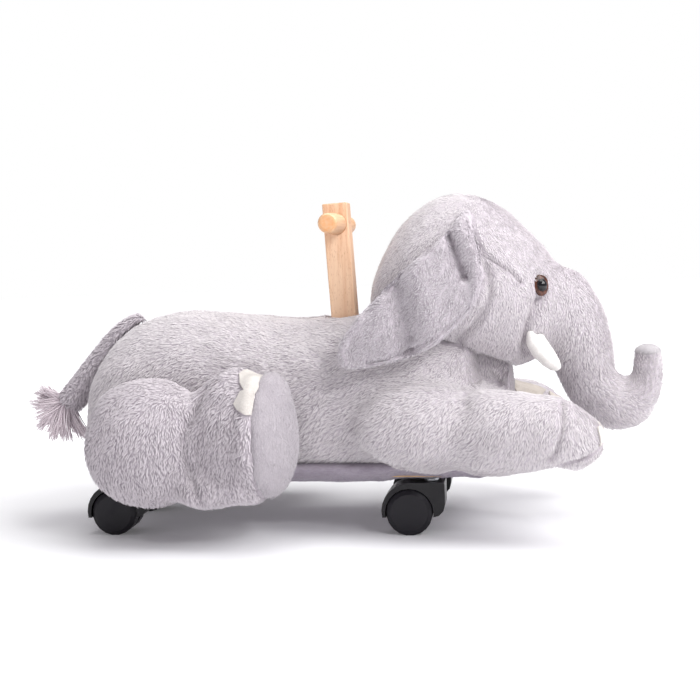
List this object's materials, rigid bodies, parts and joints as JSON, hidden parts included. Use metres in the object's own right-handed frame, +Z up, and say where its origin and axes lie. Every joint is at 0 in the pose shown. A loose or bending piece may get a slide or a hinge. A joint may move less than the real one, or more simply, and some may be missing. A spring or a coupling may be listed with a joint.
{
  "type": "plush ride-on animal",
  "caption": "Plush ride-on elephant lying on a board with swivelling twin-wheel casters and a wooden post with a dowel grip.",
  "frame": {"origin": "middle of the bounding box's underside: on the floor, under the middle of the length from tail tuft to trunk, in the plane of symmetry", "axes": "+X is the way the animal looks, +Y its left side, +Z up; the wheels stand on z = 0"},
  "size_m": [0.7329, 0.3616, 0.3691],
  "materials": {
    "grey_pile": "long soft pile, light grey",
    "short_grey_pile": "short smooth pile, mid grey",
    "pale_sole_fabric": "short pale grey pile",
    "white_felt": "white felt",
    "tuft_yarn": "loose grey yarn",
    "eye_plastic": "glossy, dark brown rim",
    "washer_plastic": "natural",
    "beech": "clear satin lacquer",
    "plywood": "raw",
    "foam": "open cell foam, cream",
    "zinc_steel": "zinc plated",
    "black_nylon": "satin black"
  },
  "bodies": {
    "animal": {"base_board": "plywood", "body_plush": "grey_pile", "belly_cover": "short_grey_pile", "handle_post": "beech", "handle_dowel": "beech", "dowel_pin": "zinc_steel", "post_cross_bolt": "zinc_steel", "post_cross_nut": "zinc_steel", "foam_core": "foam", "head": "grey_pile", "trunk": "grey_pile", "trunk_tip": "pale_sole_fabric", "tail": "grey_pile", "tail_tuft": "tuft_yarn", "post_bracket_right": "zinc_steel", "bracket_screw_right": "zinc_steel", "front_leg_right": "grey_pile", "front_sole_right": "pale_sole_fabric", "ear_right": "grey_pile", "eye_right": "eye_plastic", "eye_washer_right": "washer_plastic", "tusk_right": "white_felt", "rear_leg_right": "grey_pile", "rear_foot_right": "grey_pile", "rear_sole_right": "pale_sole_fabric", "post_bracket_left": "zinc_steel", "bracket_screw_left": "zinc_steel", "front_leg_left": "grey_pile", "front_sole_left": "pale_sole_fabric", "ear_left": "grey_pile", "eye_left": "eye_plastic", "eye_washer_left": "washer_plastic", "tusk_left": "white_felt", "rear_leg_left": "grey_pile", "rear_foot_left": "grey_pile", "rear_sole_left": "pale_sole_fabric", "front_right_tee_nut": "zinc_steel", "front_right_stem": "zinc_steel", "front_left_tee_nut": "zinc_steel", "front_left_stem": "zinc_steel", "rear_right_tee_nut": "zinc_steel", "rear_right_stem": "zinc_steel", "rear_left_tee_nut": "zinc_steel", "rear_left_stem": "zinc_steel"},
    "front_right_fork": {"front_right_hood": "black_nylon", "front_right_axle": "zinc_steel"},
    "front_right_wheel_right_body": {"front_right_wheel_right": "black_nylon"},
    "front_right_wheel_left_body": {"front_right_wheel_left": "black_nylon"},
    "front_left_fork": {"front_left_hood": "black_nylon", "front_left_axle": "zinc_steel"},
    "front_left_wheel_right_body": {"front_left_wheel_right": "black_nylon"},
    "front_left_wheel_left_body": {"front_left_wheel_left": "black_nylon"},
    "rear_right_fork": {"rear_right_hood": "black_nylon", "rear_right_axle": "zinc_steel"},
    "rear_right_wheel_right_body": {"rear_right_wheel_right": "black_nylon"},
    "rear_right_wheel_left_body": {"rear_right_wheel_left": "black_nylon"},
    "rear_left_fork": {"rear_left_hood": "black_nylon", "rear_left_axle": "zinc_steel"},
    "rear_left_wheel_right_body": {"rear_left_wheel_right": "black_nylon"},
    "rear_left_wheel_left_body": {"rear_left_wheel_left": "black_nylon"}
  },
  "joints": [
    {"name": "front_right_swivel", "type": "hinge", "parent": "animal", "child": "front_right_fork", "pos_m": [0.112, -0.062, 0.05], "axis": [0, 0, 1], "continuous": true},
    {"name": "front_right_wheel_right_spin", "type": "hinge", "parent": "front_right_fork", "child": "front_right_wheel_right_body", "pos_m": [0.088, -0.062, 0.025], "axis": [0, 1, 0], "continuous": true},
    {"name": "front_right_wheel_left_spin", "type": "hinge", "parent": "front_right_fork", "child": "front_right_wheel_left_body", "pos_m": [0.088, -0.062, 0.025], "axis": [0, 1, 0], "continuous": true},
    {"name": "front_left_swivel", "type": "hinge", "parent": "animal", "child": "front_left_fork", "pos_m": [0.112, 0.062, 0.05], "axis": [0, 0, 1], "continuous": true},
    {"name": "front_left_wheel_right_spin", "type": "hinge", "parent": "front_left_fork", "child": "front_left_wheel_right_body", "pos_m": [0.088, 0.062, 0.025], "axis": [0, 1, 0], "continuous": true},
    {"name": "front_left_wheel_left_spin", "type": "hinge", "parent": "front_left_fork", "child": "front_left_wheel_left_body", "pos_m": [0.088, 0.062, 0.025], "axis": [0, 1, 0], "continuous": true},
    {"name": "rear_right_swivel", "type": "hinge", "parent": "animal", "child": "rear_right_fork", "pos_m": [-0.22, -0.062, 0.05], "axis": [0, 0, 1], "continuous": true},
    {"name": "rear_right_wheel_right_spin", "type": "hinge", "parent": "rear_right_fork", "child": "rear_right_wheel_right_body", "pos_m": [-0.244, -0.062, 0.025], "axis": [0, 1, 0], "continuous": true},
    {"name": "rear_right_wheel_left_spin", "type": "hinge", "parent": "rear_right_fork", "child": "rear_right_wheel_left_body", "pos_m": [-0.244, -0.062, 0.025], "axis": [0, 1, 0], "continuous": true},
    {"name": "rear_left_swivel", "type": "hinge", "parent": "animal", "child": "rear_left_fork", "pos_m": [-0.22, 0.062, 0.05], "axis": [0, 0, 1], "continuous": true},
    {"name": "rear_left_wheel_right_spin", "type": "hinge", "parent": "rear_left_fork", "child": "rear_left_wheel_right_body", "pos_m": [-0.244, 0.062, 0.025], "axis": [0, 1, 0], "continuous": true},
    {"name": "rear_left_wheel_left_spin", "type": "hinge", "parent": "rear_left_fork", "child": "rear_left_wheel_left_body", "pos_m": [-0.244, 0.062, 0.025], "axis": [0, 1, 0], "continuous": true}
  ]
}
